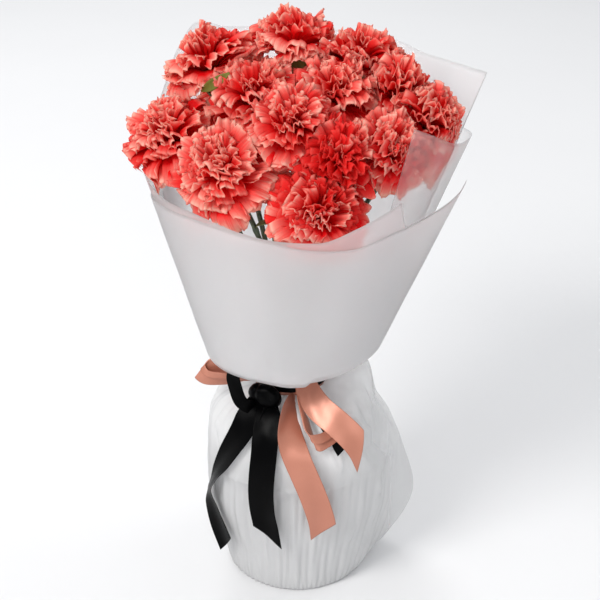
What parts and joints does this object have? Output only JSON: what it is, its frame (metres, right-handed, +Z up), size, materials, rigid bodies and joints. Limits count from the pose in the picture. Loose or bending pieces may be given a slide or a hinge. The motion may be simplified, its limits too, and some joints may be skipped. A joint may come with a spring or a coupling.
{
  "type": "wrapped bunch of carnations",
  "caption": "Upright bunch of coral carnations standing in a film-wrapped vase, with a frosted paper cone and black and copper satin ribbons.",
  "frame": {"origin": "middle of the film wrap's flat bottom, where the bunch stands on the table", "axes": "+Z up through the blooms, -Y to the front, where the ribbons are tied, +X to the right"},
  "size_m": [0.305, 0.2991, 0.5399],
  "materials": {
    "petal": "soft matt petals, darker in the folds",
    "stem": "matt grey-green",
    "vase": "smooth white glaze",
    "water": "clear",
    "film": "thin white translucent film with soft pleats",
    "paper": "frosted translucent",
    "ribbon_black": "satin",
    "ribbon_copper": "satin",
    "twine": "matt"
  },
  "bodies": {
    "root": {"vase": "vase", "water": "water", "film_wrap": "film", "stem_tie": "twine", "paper_outer": "paper", "paper_inner": "paper", "paper_right": "paper", "paper_back": "paper", "copper_ribbon": "ribbon_copper", "black_ribbon": "ribbon_black", "stem_01": "stem", "stem_02": "stem", "stem_03": "stem", "stem_04": "stem", "stem_05": "stem", "stem_06": "stem", "stem_07": "stem", "stem_08": "stem", "stem_09": "stem", "stem_10": "stem", "stem_11": "stem", "stem_12": "stem", "stem_13": "stem", "stem_14": "stem", "stem_15": "stem", "bloom_01": "petal", "bloom_02": "petal", "bloom_03": "petal", "bloom_04": "petal", "bloom_05": "petal", "bloom_06": "petal", "bloom_07": "petal", "bloom_08": "petal", "bloom_09": "petal", "bloom_10": "petal", "bloom_11": "petal", "bloom_12": "petal", "bloom_13": "petal", "bloom_14": "petal", "bloom_15": "petal"}
  },
  "joints": []
}
